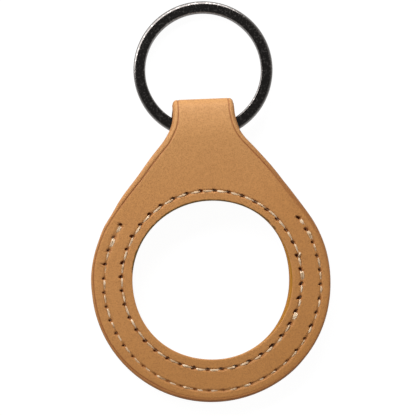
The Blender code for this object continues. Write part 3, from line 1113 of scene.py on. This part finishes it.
def wireProfile():
    # round the flat wire's section: how far out, how far up, and how much painted highlight
    ring = keyRing
    margin = ring["flatMargin"]
    profile = []
    for corner, (u, v) in enumerate(((1, 1), (-1, 1), (-1, -1), (1, -1))):
        wide, high = ring["outerRounding" if u > 0 else "innerRounding"]
        centre = (u * (ring["band"] / 2 - wide), v * (ring["wire"] / 2 - high))
        for k in range(ring["cornerSteps"] + 1):
            out, up = ray(90 * (corner + k / ring["cornerSteps"]), 1)
            paintedHighlight = smooth(abs(out), *ring["highlightFrom"]) * (1 - smooth(abs(out), *ring["highlightTo"]))
            profile.append((centre[0] + wide * out, centre[1] + high * up, paintedHighlight))
        if corner in (0, 2):  # the flat over or under the wire comes next
            other = ring["innerRounding" if u > 0 else "outerRounding"][0]
            profile.append((centre[0] - margin * u, centre[1] + high * v, 0.0))
            profile.append((-u * (ring["band"] / 2 - other) + margin * u, centre[1] + high * v, 0.0))
    return profile


def makeRing():
    # a flat wire with round edges, swept twice round with its step inside the loop
    ring = keyRing
    middle = ring["outer"] - ring["band"] / 2
    level = (ring["wire"] + ring["turnGap"]) / 2
    endGap = math.degrees(ring["endGap"] / middle)
    turn = 360 - ring["joggleDeg"]
    last = 360 + turn - endGap
    profile = wireProfile()
    less, *farSide = ring["lessHighlight"]

    def place(column, row):
        out, up, paintedHighlight = profile[column % len(profile)]
        along = endGap + (last - endGap) * row / ring["steps"]
        rise = smooth((along - turn) / ring["joggleDeg"])
        around = along - 90 + ring["joggleDeg"] / 2
        x, y = onCircle((ring["aside"], ring["pivotToMiddle"]), middle + out, around)
        if out < 0:
            # less painted highlight on the inner rim's far side
            paintedHighlight *= 1 - less * smooth(sine(around), *farSide)
        return Vector((x, y, level * (2 * rise - 1) + up)), {"paintedHighlightTone": paintedHighlight}

    shape = bmesh.new()
    shape.verts.layers.float.new("paintedHighlightTone")
    gridPatch(shape, len(profile), ring["steps"], place)
    bmesh.ops.remove_doubles(shape, verts=shape.verts, dist=ring["merge"])
    bmesh.ops.holes_fill(shape, edges=[edge for edge in shape.edges if edge.is_boundary], sides=0)
    droop = Matrix.Rotation(-math.radians(ring["droopDeg"]), 4, "X")
    sit = Matrix.Translation(Vector(joint["pos_m"])) @ droop @ Matrix.Scale(0.001, 4)
    bmesh.ops.transform(shape, matrix=sit, verts=shape.verts)
    piece = finishPiece("keyRing", shape, ringMaterial(), "ring", "split_ring")
    print("ring:", len(piece.data.polygons), "faces")


# Studio, in metres where no other unit is named

studio = {
    "sky": ((0.0, 1.0), (0.22, 0.4), (0.9, 0.05)),  # sine of the height, and brightness
    "skyPower": 2.4,
    "lamps": {  # place, size across and along, and power
        "keyLight": ((-0.11, 0.25, 0.22), (0.5, 0.13), 1.55),
        "rimLight": ((-0.05, 0.3, 0.06), (0.5, 0.06), 0.15),
    },
    "floorHalf": 3.0,
    "floorBelow": 0.00002,
    "floorDiffuse": (0.1, 0.1, 0.1),
    "floorGlow": 0.952,
    "lens": 180.0,
    "clipStart": 0.01,
    "pxPerMm": 4.965,
    "imagePx": 416,
    "rollDeg": -2.3,
    "overMm": (0.06, -1.39, 5.4),  # the point under the camera, at the height where the scale holds
}


def makeSky():
    world = bpy.data.worlds.new("studioWorld")
    bpy.context.scene.world = world
    world.use_nodes = True
    nodes, links = world.node_tree.nodes, world.node_tree.links
    toward = nodes.new("ShaderNodeTexCoord")
    apart = nodes.new("ShaderNodeSeparateXYZ")
    links.new(toward.outputs["Generated"], apart.inputs[0])
    sky = nodes.new("ShaderNodeValToRGB")
    sky.color_ramp.elements.new(studio["sky"][1][0])
    for element, (height, bright) in zip(sky.color_ramp.elements, studio["sky"]):
        element.position = height
        element.color = (bright, bright, bright, 1)
    links.new(apart.outputs["Z"], sky.inputs["Fac"])
    background = nodes["Background"]
    links.new(sky.outputs["Color"], background.inputs["Color"])
    background.inputs["Strength"].default_value = studio["skyPower"]


def floorMaterial():
    # white to the camera and in reflections, and only a little light on the object
    made, tree, shader = newMaterial("paleFloor")
    tree.nodes.remove(shader)
    diffuse = tree.nodes.new("ShaderNodeBsdfDiffuse")
    feed(tree, diffuse.inputs["Color"], studio["floorDiffuse"])
    path = tree.nodes.new("ShaderNodeLightPath").outputs
    seen = worked(tree, "MAXIMUM", path["Is Camera Ray"], path["Is Glossy Ray"])
    seen = worked(tree, "MAXIMUM", seen, path["Is Transmission Ray"])
    glow = tree.nodes.new("ShaderNodeEmission")
    tree.links.new(worked(tree, "MULTIPLY", seen, studio["floorGlow"]), glow.inputs["Strength"])
    both = tree.nodes.new("ShaderNodeAddShader")
    tree.links.new(diffuse.outputs[0], both.inputs[0])
    tree.links.new(glow.outputs[0], both.inputs[1])
    tree.links.new(both.outputs[0], tree.nodes["Material Output"].inputs["Surface"])
    return made


def makeFloor():
    shape = bmesh.new()
    bmesh.ops.create_grid(shape, x_segments=1, y_segments=1, size=studio["floorHalf"])
    mesh = bpy.data.meshes.new("floor")
    shape.to_mesh(mesh)
    shape.free()
    floor = bpy.data.objects.new("floor", mesh)
    bpy.context.scene.collection.objects.link(floor)
    floor.location.z = min(0.0, cadBox[0][2]) - studio["floorBelow"]
    mesh.materials.append(floorMaterial())


def makeLamps():
    for name, (spot, size, power) in studio["lamps"].items():
        lamp = bpy.data.lights.new(name, "AREA")
        lamp.shape = "RECTANGLE"
        lamp.size, lamp.size_y = size
        lamp.energy = power
        panel = bpy.data.objects.new(name, lamp)
        bpy.context.scene.collection.objects.link(panel)
        panel.location = spot
        panel.rotation_euler = (-panel.location).to_track_quat("-Z", "Y").to_euler()


def makeCamera():
    # straight above, as far off as makes the photograph's scale
    scene = bpy.context.scene
    lens = bpy.data.cameras.new("camera")
    lens.lens = studio["lens"]
    lens.clip_start = studio["clipStart"]
    camera = bpy.data.objects.new("camera", lens)
    scene.collection.objects.link(camera)
    width = studio["imagePx"] / studio["pxPerMm"] / 1000
    distance = lens.lens / lens.sensor_width * width
    x, y, level = (place / 1000 for place in studio["overMm"])
    camera.location = (x, y, level + distance)
    camera.rotation_euler = (0, 0, math.radians(studio["rollDeg"]))
    scene.camera = camera
    scene.view_settings.view_transform = "Standard"
    print("studio: camera", round(distance, 3), "m above the leather")


makeLeather()
makeThreads()
makeRing()
makeSky()
makeFloor()
makeLamps()
makeCamera()
